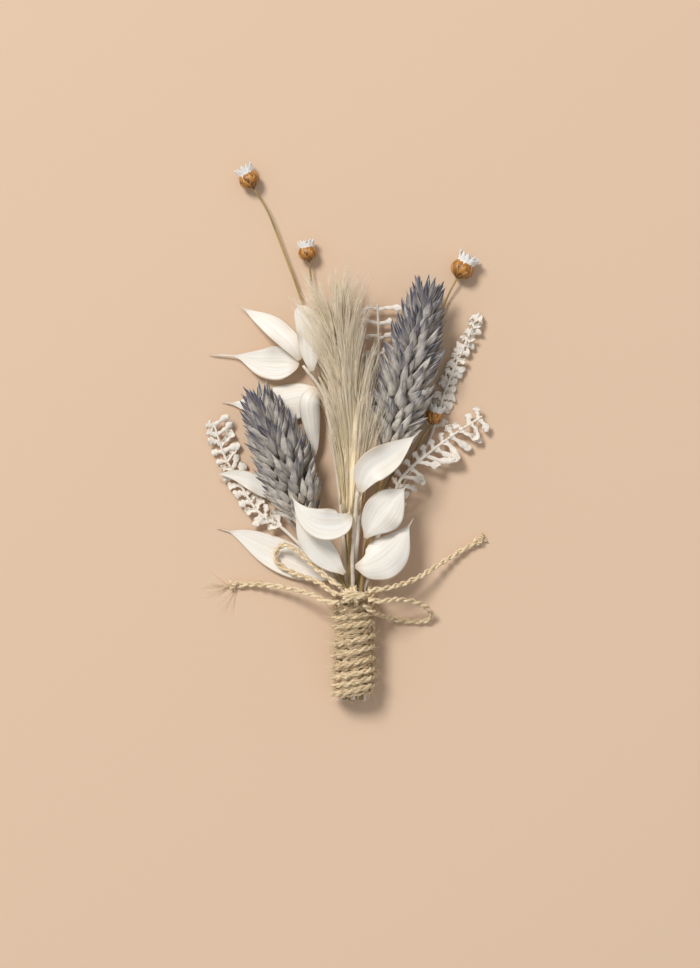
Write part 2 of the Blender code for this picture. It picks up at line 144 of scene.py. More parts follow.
class Shape:
    """Points and faces gathered part by part, with three values a point that the finishes read."""

    VALUES = ("along", "across", "shade")

    def __init__(self):
        self.points, self.faces, self.total = [], [], 0
        self.values = {name: [] for name in self.VALUES}

    def add(self, points, faces, along=0.0, across=0.0, shade=0.5):
        shape = points.shape[:-1]
        self.points.append(points.reshape(-1, 3))
        self.faces += [(f + self.total).tolist() for f in faces]
        for name, value in zip(self.VALUES, (along, across, shade)):
            self.values[name].append(np.broadcast_to(value, shape).ravel())
        self.total += self.points[-1].shape[0]

    def rods(self, paths, radii, sides=4, shade=0.5, up=(0.11, 0.07, 1)):
        """Closed round rods: paths is (rods, points, 3) and radii fits (rods, points)."""
        paths = paths if paths.ndim == 3 else paths[None]
        count, steps = paths.shape[:2]
        _, side, normal = frames(paths, up)
        angle = np.linspace(0, 2 * math.pi, sides, endpoint=False)[:, None]
        ring = np.cos(angle) * side[:, :, None] + np.sin(angle) * normal[:, :, None]
        radii = np.broadcast_to(radii, (count, steps))[:, :, None, None]
        i = np.arange(count * steps * sides).reshape(count, steps, sides)
        j = np.roll(i, -1, axis=2)
        quads = np.stack([i[:, :-1], i[:, 1:], j[:, 1:], j[:, :-1]], -1).reshape(-1, 4)
        along = np.linspace(0, 1, steps)[None, :, None]
        across = np.cos(angle[:, 0])[None, None]
        shade = np.reshape(shade, (-1, 1, 1))
        self.add(paths[:, :, None] + radii * ring, [quads, i[:, 0], i[:, -1, ::-1]], along, across, shade)

    def sheets(self, grids, shade=0.5, along=None, across=None):
        """Open surfaces: grids is (sheets, rows, columns, 3), rows running along and columns across."""
        count, rows, columns = grids.shape[:3]
        i = np.arange(count * rows * columns).reshape(count, rows, columns)
        quads = np.stack([i[:, :-1, :-1], i[:, :-1, 1:], i[:, 1:, 1:], i[:, 1:, :-1]], -1).reshape(-1, 4)
        along = np.linspace(0, 1, rows)[None, :, None] if along is None else along
        across = np.linspace(-1, 1, columns)[None, None] if across is None else across
        self.add(grids, [quads], along, across, np.reshape(shade, (-1, 1, 1)))

    def piece(self, name, finish, nodes=(), thickness=0.0):
        """Makes the mesh object, which rides on the root and stands for the given nodes of the model."""
        points = place(np.vstack(self.points))
        faces = [face for group in self.faces for face in group]
        mesh = bpy.data.meshes.new(name)
        mesh.from_pydata(points.tolist(), [], faces)
        values = {k: np.concatenate(v).astype(np.float32) for k, v in self.values.items()}
        for key, value in values.items():
            mesh.attributes.new(key, "FLOAT", "POINT").data.foreach_set("value", value)
        corner = np.empty(len(mesh.loops), np.int32)
        mesh.loops.foreach_get("vertex_index", corner)
        column = np.floor(values["shade"].clip(0, 0.999) * SHADE_COLUMNS)
        flat = np.stack([(column + (values["across"] + 1) / 2) / SHADE_COLUMNS, values["along"]], 1)
        mesh.uv_layers.new(name="OFBake").uv.foreach_set("vector", flat[corner].ravel())
        mesh.shade_smooth()
        mesh.materials.append(finish)
        obj = bpy.data.objects.new(f"dried_{name}", mesh)
        bpy.context.scene.collection.objects.link(obj)
        if thickness:
            modifier = obj.modifiers.new("thickness", "SOLIDIFY")
            modifier.thickness = thickness * MM
            modifier.offset = 0
        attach(obj, "root")
        if nodes:
            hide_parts(*nodes)
        return obj


def hairs(shape, rng, starts, ways, lengths, radius=0.05, steps=5, bend=0.5, droop=0.0,
shade=(0.2, 1.0)):
    """Fine curved fibres, tapering to a point."""
    count = len(starts)
    ways = unit(ways)
    sweep = unit(np.cross(ways, rng.normal(size=(count, 3))))
    t = np.linspace(0, 1, steps)[None, :, None]
    lengths = np.reshape(lengths, (-1, 1, 1))
    curve = rng.normal(0, bend, (count, 1, 1))
    paths = starts[:, None] + lengths * (ways[:, None] * t + sweep[:, None] * curve * t**2)
    paths[..., 2] -= droop * (lengths * t**2)[..., 0]
    paths[..., 2] = np.maximum(paths[..., 2], 0.12)
    taper = 1 - 0.75 * np.linspace(0, 1, steps)
    shape.rods(paths, radius * rng.uniform(0.6, 1.3, (count, 1)) * taper, 3, rng.uniform(*shade, count))


# ---- finishes --------------------------------------------------------------------------


class Finish:
    """A Principled material whose colour, roughness and relief are put together from a few pattern nodes."""

    def __init__(self, name, roughness=0.6, **sockets):
        self.material = bpy.data.materials.new(name)
        self.material.use_nodes = True
        self.tree = self.material.node_tree
        self.shader = self.tree.nodes["Principled BSDF"]
        self.shader.inputs["Roughness"].default_value = roughness
        for key, value in sockets.items():
            self.shader.inputs[key.replace("_", " ")].default_value = value
        self.place = self.tree.nodes.new("ShaderNodeTexCoord").outputs["Object"]

    def join(self, socket, value):
        if isinstance(value, bpy.types.NodeSocket):
            self.tree.links.new(value, socket)
        elif value is not None:
            is_colour = hasattr(value, "__len__") and len(value) == 3 and socket.type == "RGBA"
            socket.default_value = (*value, 1) if is_colour else value

    def read(self, name):
        node = self.tree.nodes.new("ShaderNodeAttribute")
        node.attribute_name = name
        return node.outputs["Fac"]

    def maths(self, kind, a, b=None):
        node = self.tree.nodes.new("ShaderNodeMath")
        node.operation = kind
        self.join(node.inputs[0], a)
        self.join(node.inputs[1], b)
        return node.outputs[0]

    def grain(self, size, detail=3.0, stretch=(1, 1, 1), vector=None):
        """Soft noise whose features are about size mm, drawn out along the axes of stretch."""
        spread = self.tree.nodes.new("ShaderNodeMapping")
        self.join(spread.inputs["Vector"], vector or self.place)
        spread.inputs["Scale"].default_value = [1 / s for s in stretch]
        node = self.tree.nodes.new("ShaderNodeTexNoise")
        self.join(node.inputs["Vector"], spread.outputs[0])
        node.inputs["Scale"].default_value = 1 / (size * MM)
        node.inputs["Detail"].default_value = detail
        return node.outputs["Fac"]

    def own_place(self, along_scale, across_scale):
        """A pattern space that follows the piece's own length and width, and differs for each strand."""
        node = self.tree.nodes.new("ShaderNodeCombineXYZ")
        self.join(node.inputs[0], self.maths("MULTIPLY", self.read("across"), across_scale))
        self.join(node.inputs[1], self.maths("MULTIPLY", self.read("along"), along_scale))
        self.join(node.inputs[2], self.maths("MULTIPLY", self.read("shade"), 40.0))
        return node.outputs[0]

    def streaks(self, along_scale, across_scale, detail=2.0):
        node = self.tree.nodes.new("ShaderNodeTexNoise")
        self.join(node.inputs["Vector"], self.own_place(along_scale, across_scale))
        node.inputs["Scale"].default_value = 1.0
        node.inputs["Detail"].default_value = detail
        return node.outputs["Fac"]

    def ramp(self, value, *stops):
        node = self.tree.nodes.new("ShaderNodeValToRGB")
        self.join(node.inputs[0], value)
        elements = node.color_ramp.elements
        while len(elements) < len(stops):
            elements.new(0.5)
        for element, (position, colour) in zip(elements, stops):
            element.position = position
            element.color = (*colour, 1) if hasattr(colour, "__len__") else (colour, colour, colour, 1)
        return node.outputs["Color"]

    def mix(self, share, a, b, kind="MIX"):
        node = self.tree.nodes.new("ShaderNodeMix")
        node.data_type = "RGBA"
        node.blend_type = kind
        self.join(node.inputs[0], share)
        self.join(node.inputs[6], a)
        self.join(node.inputs[7], b)
        return node.outputs[2]

    def finish(self, colour, relief=None, depth=0.1, roughness=None):
        """Joins the colour, a relief whose full height is depth mm, and a roughness pattern."""
        self.join(self.shader.inputs["Base Color"], colour)
        if roughness is not None:
            self.join(self.shader.inputs["Roughness"], roughness)
        if relief is not None:
            node = self.tree.nodes.new("ShaderNodeBump")
            self.join(node.inputs["Height"], relief)
            node.inputs["Distance"].default_value = depth * MM
            node.inputs["Strength"].default_value = 1.0
            self.join(self.shader.inputs["Normal"], node.outputs[0])
        return self.material


def shaded(colour, factor):
    return tuple(min(1.0, c * factor) for c in colour)


def leaf_finish(look):
    finish = Finish("bleached leaf", 0.5, Specular_IOR_Level=0.35)
    blade = finish.mix(finish.grain(5, 4), look.leaf_colour, shaded(look.leaf_colour, 0.93))
    veins = finish.streaks(1.5, 13.0, 1.0)
    vein_colour = shaded(look.leaf_edge_colour, 1.25)
    blade = finish.mix(finish.ramp(veins, (0.42, 0.0), (0.62, 0.35)), blade, vein_colour)
    rim = finish.maths("ABSOLUTE", finish.read("across"))
    blade = finish.mix(finish.ramp(rim, (0.9, 0.0), (0.99, 0.75)), blade, look.leaf_edge_colour)
    tip = finish.ramp(finish.read("along"), (0.02, 0.7), (0.12, 0.0), (0.84, 0.0), (0.97, 0.65))
    blade = finish.mix(tip, blade, look.leaf_edge_colour)
    return finish.finish(blade, veins, 0.09, finish.ramp(finish.grain(1.5), (0.3, 0.42), (0.7, 0.6)))


def woody_finish(look):
    finish = Finish("bleached stem", 0.6)
    bleached = shaded(look.leaf_colour, 0.95)
    colour = finish.mix(finish.grain(1.2, 3, (1, 5, 1)), look.leaf_edge_colour, bleached)
    return finish.finish(colour, finish.grain(0.35, 2, (1, 6, 1)), 0.12)


def fern_finish(look):
    finish = Finish("bleached fern", 0.62, Specular_IOR_Level=0.3)
    colour = finish.mix(finish.grain(1.6, 4), look.fern_colour, shaded(look.fern_colour, 0.84))
    rim = finish.ramp(finish.maths("ABSOLUTE", finish.read("across")), (0.75, 0.0), (1.0, 0.5))
    colour = finish.mix(rim, colour, look.leaf_edge_colour)
    return finish.finish(colour, finish.grain(0.5, 3), 0.16)


def husk_finish(look):
    finish = Finish("dyed grass husk", 0.75, Specular_IOR_Level=0.25)
    along = finish.read("along")
    blotch = finish.grain(1.1, 3)
    body = finish.mix(finish.read("shade"), look.husk_colour, look.husk_light_colour)
    body = finish.mix(finish.ramp(blotch, (0.4, 0.0), (0.68, 0.5)), body, look.husk_dye_colour)
    toward_tip = finish.maths("SUBTRACT", along, finish.maths("MULTIPLY", finish.read("shade"), 0.45))
    body = finish.mix(finish.ramp(toward_tip, (0.35, 0.0), (0.8, 0.92)), body, look.husk_tip_colour)
    rim = finish.maths("ABSOLUTE", finish.read("across"))
    edge = finish.ramp(rim, (0.0, 0.45), (0.12, 0.0), (0.72, 0.0), (0.95, 0.8))
    body = finish.mix(edge, body, look.husk_edge_colour)
    return finish.finish(body, finish.streaks(2.0, 9.0), 0.1)


def hair_finish(name, dark, light, tip=None):
    finish = Finish(name, 0.62, Specular_IOR_Level=0.3)
    colour = finish.mix(finish.read("shade"), dark, light)
    if tip is not None:
        colour = finish.mix(finish.ramp(finish.read("along"), (0.35, 0.0), (0.9, 1.0)), colour, tip)
    colour = finish.mix(finish.grain(1.5, 2), colour, shaded(light, 0.85))
    return finish.finish(colour)


def straw_finish(look):
    finish = Finish("straw stem", 0.5)
    tint = finish.grain(2.5, 3, (1, 8, 1))
    dark, light = shaded(look.straw_colour, 0.6), shaded(look.straw_colour, 1.5)
    colour = finish.ramp(tint, (0.3, dark), (0.5, look.straw_colour), (0.75, light))
    return finish.finish(colour, finish.grain(0.25, 2, (1, 12, 1)), 0.08)


def bract_finish(look):
    finish = Finish("brown bract", 0.32, Specular_IOR_Level=0.5)
    along = finish.read("along")
    dark, light = shaded(look.bract_colour, 0.75), shaded(look.bract_colour, 1.35)
    shade = finish.mix(finish.read("shade"), dark, light)
    colour = finish.mix(finish.ramp(along, (0.0, 1.0), (0.45, 0.0)),
    shade, shaded(look.bract_colour, 0.35))
    rim = finish.ramp(finish.maths("ABSOLUTE", finish.read("across")), (0.55, 0.0), (1.0, 0.8))
    colour = finish.mix(rim, colour, look.bract_edge_colour)
    colour = finish.mix(finish.ramp(along, (0.7, 0.0), (0.95, 0.7)), colour, look.bract_edge_colour)
    return finish.finish(colour, finish.streaks(1.0, 8.0), 0.05)


def petal_finish(look):
    finish = Finish("white petal", 0.55)
    foot = shaded(look.leaf_edge_colour, 1.2)
    colour = finish.ramp(finish.read("along"), (0.0, foot), (0.3, look.petal_colour))
    return finish.finish(colour, finish.streaks(1.0, 7.0), 0.05)


# ---- the stage -------------------------------------------------------------------------

VIEW_CENTRE = Vector((0.0008, -0.0145, 0.008))
VIEW_HEIGHT = 0.2614  # what the frame takes in from top to bottom, in metres
LENS, SENSOR = 100.0, 36.0


def area_light(name, where, size, energy, colour=(1, 0.985, 0.96)):
    data = bpy.data.lights.new(name, "AREA")
    data.shape = "DISK"
    data.size = size
    data.energy = energy
    data.color = colour
    light = bpy.data.objects.new(name, data)
    light.location = where
    light.rotation_mode = "QUATERNION"
    light.rotation_quaternion = (Vector(where) - VIEW_CENTRE).to_track_quat("Z", "Y")
    bpy.context.scene.collection.objects.link(light)


def build_stage(look):
    scene = bpy.context.scene
    scene.view_settings.view_transform = "Standard"
    camera = bpy.data.cameras.new("camera")
    camera.lens = LENS
    camera.sensor_width = SENSOR
    seen = bpy.data.objects.new("camera", camera)
    seen.location = VIEW_CENTRE + Vector((0, 0, VIEW_HEIGHT * LENS / SENSOR))
    scene.collection.objects.link(seen)
    scene.camera = seen

    floor = Finish("floor", 0.85, Specular_IOR_Level=0.2)
    floor.finish(tuple(look.floor_colour))
    side = look.floor_size / 2
    mesh = bpy.data.meshes.new("floor")
    corners = [(-side, -side, 0), (side, -side, 0), (side, side, 0), (-side, side, 0)]
    mesh.from_pydata(corners, [], [(0, 1, 2, 3)])
    mesh.materials.append(floor.material)
    ground = bpy.data.objects.new("floor", mesh)
    scene.collection.objects.link(ground)

    world = bpy.data.worlds.new("studio")
    scene.world = world
    world.use_nodes = True
    nodes, links = world.node_tree.nodes, world.node_tree.links
    backdrop = nodes.new("ShaderNodeBackground")
    backdrop.inputs["Color"].default_value = (*look.floor_colour, 1)
    backdrop.inputs["Strength"].default_value = 1.0
    studio = nodes["Background"]
    studio.inputs["Color"].default_value = (1, 1, 1, 1)
    studio.inputs["Strength"].default_value = look.fill_strength
    path = nodes.new("ShaderNodeLightPath")
    chosen = nodes.new("ShaderNodeMixShader")
    links.new(path.outputs["Is Camera Ray"], chosen.inputs["Fac"])
    links.new(studio.outputs[0], chosen.inputs[1])
    links.new(backdrop.outputs[0], chosen.inputs[2])
    links.new(chosen.outputs[0], nodes["World Output"].inputs["Surface"])
    area_light("key", (-0.95, 1.25, 2.1), 0.8, look.key_power)


# ---- the stems -------------------------------------------------------------------------


def stem_line(column, row, outside, count):
    """The line of a stem: straight through the handle, then through the points outside it."""
    u, w = slot(column, row)
    cut = (u, STEM_CUT_V + 0.3 * abs(row) + 0.15 * abs(column), w)
    return np.vstack([cut, route([(u, WRAP_END, w), *outside], count)])


def stem(name, column, row, outside, finish, radius=STEM_RADIUS, taper=0.8, count=60,
knots=()):
    """One round stem with slight swellings, cut off level at the handle's foot."""
    line = stem_line(column, row, outside, count)
    line = np.vstack([line[:1] * (1 - t) + line[1:2] * t for t in np.linspace(0, 1, 12)[:-1]] + [line[1:]])
    share = np.linspace(0, 1, len(line))
    wobble = 1 + 0.06 * np.sin(share * 61 + column * 5) + 0.04 * np.sin(share * 143 + row)
    radii = radius * (1 + (taper - 1) * share) * wobble
    for at in knots:
        radii += radius * 0.35 * np.exp(-(((share - at) / 0.012) ** 2))
    shape = Shape()
    shape.rods(line, radii, 10)
    return shape.piece(name, finish, [name])


# ---- the ruscus ------------------------------------------------------------------------


def leaf_grid(spine, left, right, widest=0.45, slender=1.9, roll=(0, 0), curl=(15, 15),
wave=0.25, phase=0.0,
              needle=0.16, tail=0.1, rows=56, columns=21):
    """A ruscus leaf as a grid of points. left and right are half-widths in mm, roll turns the blade about its
    midrib from base to tip, and curl is how far each side bends up out of the flat, all in degrees."""
    line = route(spine, rows)
    t = np.linspace(0, 1, rows)
    a = np.linspace(-1, 1, columns)
    tangent, side, normal = frames(line)
    angle = np.radians(roll[0] + (roll[1] - roll[0]) * t)
    side, normal = turned(side, tangent, angle), turned(normal, tangent, angle)
    blade = (t / (1 - tail)).clip(0, 1)
    body = ((blade / widest) ** widest * ((1 - blade) / (1 - widest)) ** (1 - widest)) ** slender
    foot = 0.32 * np.exp(-((t / 0.05) ** 2)) + needle * smooth((1 - t) / 0.1) + 0.05
    half = np.where(a[None] < 0, left, right) * body[:, None] + foot[:, None]
    bend = np.radians(np.where(a < 0, curl[0], curl[1]))[None] * (0.35 + 0.65 * body[:, None])
    bend = np.where(np.abs(bend) < 1e-3, 1e-3, bend)
    reach, sweep = np.abs(a)[None], np.sign(a)[None]
    x = sweep * half * np.sin(bend * reach) / bend
    z = half * (1 - np.cos(bend * reach)) / bend
    ripple = np.sin(2 * math.pi * (t[:, None] * 1.7 + phase) + sweep)
    ripple = ripple + 0.5 * np.sin(t[:, None] * 23 + phase * 9 + sweep * 2)
    z = z + wave * reach**2 * body[:, None] * ripple
    z = z - 0.12 * np.exp(-((a[None] / 0.09) ** 2)) * body[:, None]
    grid = line[:, None] + side[:, None] * x[..., None] + normal[:, None] * z[..., None]
    grid[..., 2] = np.maximum(grid[..., 2], 0.2)
    return grid[None]


LEAVES = {
    "ruscus_back_leaf_1": dict(
        spine=[(-9.2, 55.6, 3.6), (-14.5, 53.6, 2.6), (-24, 51.8, 1.8), (-31, 52.2, 1.3),
                 (-35.9, 52.9, 0.7)],
        left=5.2, right=5.8, widest=0.38, slender=2.2, curl=(-12, -56), roll=(4, 0), wave=0.4,
        phase=0.3,
    ),
    "ruscus_back_leaf_2": dict(
        spine=[(-9.6, 55.9, 6.4), (-11.6, 52.5, 7.3), (-11.2, 46, 5.6), (-10.6, 40, 3.6),
                 (-11.1, 33.6, 1.8)],
        left=3.1, right=3.0, widest=0.26, slender=1.9, curl=(-62, -62), roll=(-6, 6), wave=0.25,
        phase=0.1,
    ),
    "ruscus_back_leaf_3": dict(
        spine=[(-14.6, 63.1, 4.7), (-18.4, 63.4, 3.7), (-24.4, 63.6, 2.6), (-31.6, 65.3, 1.9),
                 (-39.4, 65.8, 0.9)],
        left=4.6, right=4.4, widest=0.36, slender=2.3, tail=0.28, curl=(14, 24), roll=(-3, 2),
        wave=0.35, phase=0.6,
    ),
    "ruscus_back_leaf_4": dict(
        spine=[(-14.3, 63.9, 5.3), (-17.0, 68.4, 6.0), (-22.0, 73.2, 4.9), (-27, 76.4, 3.4),
                 (-31.6, 79.4, 2.3)],
        left=2.9, right=3.5, widest=0.42, slender=2.3, curl=(30, -26), roll=(16, 4), wave=0.3,
        phase=0.8,
    ),
    "ruscus_back_leaf_5": dict(
        spine=[(-11.2, 60.8, 6.0), (-11.9, 66, 7.0), (-12.4, 73, 7.2), (-15.7, 80.4, 6.4)],
        left=3.0, right=4.3, widest=0.62, slender=1.5, curl=(26, -30), roll=(-8, 10), wave=0.35,
        phase=0.45,
    ),
    "ruscus_back_leaf_6": dict(
        spine=[(-5.2, 44.2, 4.8), (-0.8, 50, 5.4), (2.6, 58, 5.6), (5.0, 67.5, 5.4)],
        left=3.0, right=3.0, widest=0.4, slender=1.9, curl=(16, 16), wave=0.25, phase=0.2,
    ),
    "ruscus_low_leaf_1": dict(
        spine=[(-4.3, 4.9, 2.5), (-12, 7.6, 1.5), (-21.5, 12.0, 1.0), (-30, 16.4, 0.8),
                 (-37.2, 18.4, 0.6)],
        left=4.6, right=4.2, widest=0.48, slender=2.1, curl=(6, 12), roll=(0, 0), wave=0.12, phase=0.7,
    ),
    "ruscus_low_leaf_2": dict(
        spine=[(-22.1, 27.2, 2.4), (-27, 30.6, 3.6), (-32, 32.8, 3.6), (-37.8, 33.2, 3.4)],
        left=2.0, right=2.4, widest=0.35, slender=1.7, curl=(18, 24), wave=0.2, phase=0.9,
    ),
    "ruscus_front_leaf_1": dict(
        spine=[(-2.2, 6.3, 11.6), (-6.0, 9.8, 13.0), (-11.2, 15.6, 15.0), (-16.4, 23.6, 16.4)],
        left=3.7, right=3.9, widest=0.5, slender=2.3, curl=(26, -24), roll=(-4, -10), wave=0.25,
        phase=0.15,
    ),
    "ruscus_front_leaf_2": dict(
        spine=[(0.6, 8.3, 11.4), (5.0, 8.8, 12.8), (10.4, 12.6, 12.6), (16.3, 21.2, 10.2)],
        left=5.4, right=6.0, widest=0.44, slender=2.6, curl=(-20, -34), roll=(3, -4), wave=0.5,
        phase=0.5,
    ),
    "ruscus_front_leaf_3": dict(
        spine=[(-0.5, 22.2, 18.2), (-3.4, 19.8, 19.2), (-8.6, 19.6, 19.9), (-13.2, 22.4, 20.0),
                 (-16.9, 28.2, 19.3)],
        left=3.7, right=4.6, widest=0.4, slender=2.3, curl=(22, 24), roll=(-6, 2), wave=0.15,
        phase=0.35,
    ),
    "ruscus_front_leaf_4": dict(
        spine=[(3.2, 16.0, 14.6), (5.6, 20.0, 15.6), (9.6, 25.0, 15.2), (14.9, 30.6, 12.8)],
        left=5.2, right=5.9, widest=0.5, slender=2.6, curl=(38, -30), roll=(2, -3), wave=0.6,
        phase=0.05,
    ),
    "ruscus_front_leaf_5": dict(
        spine=[(1.8, 28.2, 19.2), (4.4, 34.0, 19.9), (10.4, 38.2, 19.2), (18.2, 44.8, 16.6)],
        left=4.6, right=4.0, widest=0.42, slender=2.4, curl=(36, 26), roll=(8, 2), wave=0.45,
        phase=0.65,
    ),
}

RUSCUS_STEMS = {  # slot column and row, then the points outside the handle
    "ruscus_back_stem": (
        -1, 0,
        [(-2.2, 10, 5.1), (-3.6, 27, 4.2), (-6.2, 45.9, 4.1), (-7.9, 54.5, 4.5),
         (-11.1, 59.6, 4.9), (-13.6, 62.6, 5.0)],
    ),
    "ruscus_low_stem": (-1.5, -1, [(-3.4, 5.4, 3.5), (-9, 12, 2.7), (-17, 20, 2.0), (-21.6, 26, 1.7)]),
    "ruscus_front_stem": (
        0, 2, [(-0.1, 6, 9.5), (-0.2, 11, 11.9), (0.4, 18.5, 15.4), (0.8, 25, 18.2), (1.2, 28.5, 19.2)],
    ),
}


def build_ruscus(look):
    blade, wood = leaf_finish(look), woody_finish(look)
    for name, (column, row, outside) in RUSCUS_STEMS.items():
        stem(name, column, row, outside, wood, taper=0.7, knots=(0.62, 0.8, 0.97))
    for k, (name, form) in enumerate(LEAVES.items()):
        shape = Shape()
        shape.sheets(leaf_grid(**form), shade=(k * 0.37) % 1)
        shape.piece(name, blade, [name], look.leaf_thickness / MM)


# ---- the grasses -----------------------------------------------------------------------

HEADS = {  # base and tip of the spike, its stem's slot and outside points, how many husks, seed
    "phalaris_left": (
        (-12.2, 19.7, 9.0), (-26.3, 55.9, 9.2), (-1.5, 1),
        [(-4.2, 7, 7.3), (-8.4, 13.6, 8.4), (-12.0, 19.3, 9.0), (-13.5, 23.5, 9.0)], 210, 11,
    ),
    "phalaris_right": (
        (8.4, 35.1, 9.1), (20.7, 85.6, 9.3), (1.5, 1),
        [(3.4, 12, 7.5), (6.0, 25, 8.6), (8.3, 34.7, 9.1), (9.4, 39.0, 9.1)], 270, 12,
    ),
}
SPIKE_RADII = ((0, 2.2), (0.09, 5.6), (0.2, 7.8), (0.35, 8.4), (0.6, 8.0), (0.8, 5.9),
(0.91, 3.9), (1, 1.6))


def husk_grids(rng, bases, ways, outward, lengths, widths, fold, rows=8, columns=7):
    """Folded, pointed husks. fold is the keel's half-angle in radians, and outward is where it points."""
    count = len(bases)
    ways = unit(ways)
    side = unit(np.cross(ways, outward))
    keel = np.cross(side, ways)
    t = np.linspace(0, 1, rows)
    a = np.linspace(-1, 1, columns)
    half = (np.sin(math.pi * (0.06 + 0.94 * t) ** 0.8) ** 0.8 * (1 - 0.35 * t)).clip(0.02)
    half = half[None] * np.reshape(widths, (-1, 1)) / 2
    bow = rng.normal(0.10, 0.05, (count, 1)) * np.reshape(lengths, (-1, 1))
    sway = rng.normal(0, 0.05, (count, 1)) * np.reshape(lengths, (-1, 1))
    spine = bases[:, None] + ways[:, None] * (np.reshape(lengths, (-1, 1)) * t)[..., None]
    spine = spine + keel[:, None] * (bow * np.sin(math.pi * t * 0.85))[..., None]
    spine = spine + side[:, None] * (sway * t**2)[..., None]
    fold = np.reshape(fold, (-1, 1, 1)) * (1 - 0.25 * t)[None, :, None]
    reach = np.abs(a)[None, None]
    x = np.sign(a) * half[..., None] * (np.sin(fold) * reach + 0.16 * np.sin(math.pi * reach))
    z = -half[..., None] * np.cos(fold) * reach * 1.25
    return spine[:, :, None] + side[:, None, None] * x[..., None] + keel[:, None, None] * z[..., None]


def build_spike(name, look, finish):
    base, tip, _, _, count, seed = HEADS[name]
    base, tip = np.array(base), np.array(tip)
    rng = np.random.default_rng(seed)
    axis = unit(tip - base)
    across = unit(np.cross(axis, (0, 0, 1)))
    up = np.cross(across, axis)
    share = (np.arange(count) + 0.5) / count
    share = 0.02 + 0.93 * share**0.92
    angle = np.arange(count) * GOLDEN_TURN + rng.normal(0, 0.12, count)
    outward = across * np.cos(angle)[:, None] + up * np.sin(angle)[:, None]
    radius = np.interp(share, *zip(*SPIKE_RADII)) * rng.uniform(0.9, 1.06, count)
    lengths = look.husk_length / MM * rng.uniform(0.7, 1.0, count) * (0.8 + 0.45 * share**2)
    lean = np.radians(np.interp(share, (0, 0.3, 0.7, 1), (42, 33, 27, 18)) + rng.normal(0, 6, count))
    ways = axis * np.cos(lean)[:, None] + outward * np.sin(lean)[:, None]
    ways = unit(ways + rng.normal(0, 0.05, (count, 3)))
    start = (radius - lengths * np.sin(lean)).clip(0.3)
    bases = base + axis * ((tip - base) @ axis * share - lengths * np.cos(lean) * 0.55)[:, None]
    bases = bases + outward * start[:, None]
    facing = unit(outward - ways * (outward * ways).sum(-1, keepdims=True))
    facing = turned(facing, ways, rng.normal(0, 0.35, count))
    widths = look.husk_width / MM * rng.uniform(0.8, 1.15, count)
    shape = Shape()
    grids = husk_grids(rng, bases, ways, facing, lengths, widths, rng.uniform(0.75, 1.15, count))
    tone = (0.85 - 0.75 * share + rng.normal(0, 0.2, count)).clip(0.02, 1)
    shape.sheets(np.maximum(grids, (-1e9, -1e9, 0.12)), tone)
    fold = rng.uniform(0.4, 0.7, count)
    inner = husk_grids(rng, bases - facing * 0.25, ways, facing, lengths * 0.86, widths * 0.72, fold)
    shape.sheets(np.maximum(inner, (-1e9, -1e9, 0.12)), (tone * 0.6).clip(0, 1))
    core = route([base - axis * 1.0, (base + tip) / 2, tip - axis * 2.5], 30)
    profile = np.interp(np.linspace(0, 1, 30), *zip(*SPIKE_RADII)) * 0.42
    shape.rods(core, profile, 12, 0.2)
    return shape.piece(f"{name}_head", finish, [f"{name}_head"], 0.1)


PLUME_LINE = [(-0.6, 22.0, 13.2), (0.2, 36, 13.6), (-1.0, 54, 13.2), (-4.0, 70, 12.4), (-6.4, 84, 11.0)]


def build_plume(look, finish):
    """Locks of fine hair that leave a central line and fan out towards the top."""
    rng = np.random.default_rng(21)
    shape = Shape()
    core = route(PLUME_LINE, 200)
    locks = look.plume_strands // 14
    body = core[: int(len(core) * 0.72)]
    thickness = np.interp(np.linspace(0, 1, len(body)), (0, 0.25, 0.6, 1), (0.9, 2.3, 2.2, 0.5))
    shape.rods(body, thickness, 12, 0.35)
    for _ in range(locks):
        root = rng.uniform(0, 0.80)
        start = core[int(root * 199)]
        reach = rng.uniform(15, 27) * (1.15 - 0.55 * root)
        turn = rng.uniform(0, 2 * math.pi)
        spread = rng.uniform(0.08, 0.42) * (0.6 + root)
        tangent = unit(core[min(int(root * 199) + 12, 199)] - start)
        side = unit(np.cross(tangent, (0, 0, 1)))
        lift = np.cross(side, tangent)
        out = side * math.cos(turn) * 1.0 + lift * math.sin(turn) * 0.55
        start = start + out * rng.uniform(0.3, 3.2)
        members = 14
        t = np.linspace(0, 1, 8)[None, :, None]
        own = rng.normal(0, 0.33, (members, 1, 3)) * (0.35 + 1.6 * t)
        lengths = reach * rng.uniform(0.7, 1.1, (members, 1, 1))
        path = start + lengths * (tangent * t + out * spread * t**1.5) + own
        path[..., 2] = np.maximum(path[..., 2], 0.15)
        taper = 1 - 0.6 * np.linspace(0, 1, 8)
        tone = np.clip(0.25 + 0.65 * root + rng.normal(0, 0.22), 0, 1) * np.ones(members)
        tone = np.clip(tone + rng.normal(0, 0.15, members), 0, 1)
        shape.rods(path, 0.085 * rng.uniform(0.7, 1.3, (members, 1)) * taper, 3, tone)
    return shape.piece("plume_head", finish, ["plume_head"])


def build_grasses(look):
    straw = straw_finish(look)
    husk = husk_finish(look)
    for name, (_, _, (column, row), outside, _, _) in HEADS.items():
        stem(f"{name}_stem", column, row, outside, straw)
        build_spike(name, look, husk)
    plume = hair_finish("plume hair", look.plume_low_colour, look.plume_high_colour, look.plume_high_colour)
    build_plume(look, plume)
    outside = [(-0.9, 8, 8.7), (-0.8, 15.5, 11.6), (-0.65, 21.6, 13.3), (0, 28, 13.4)]
    stem("plume_stem", -0.5, 1, outside, straw)


# ---- the ferns -------------------------------------------------------------------------

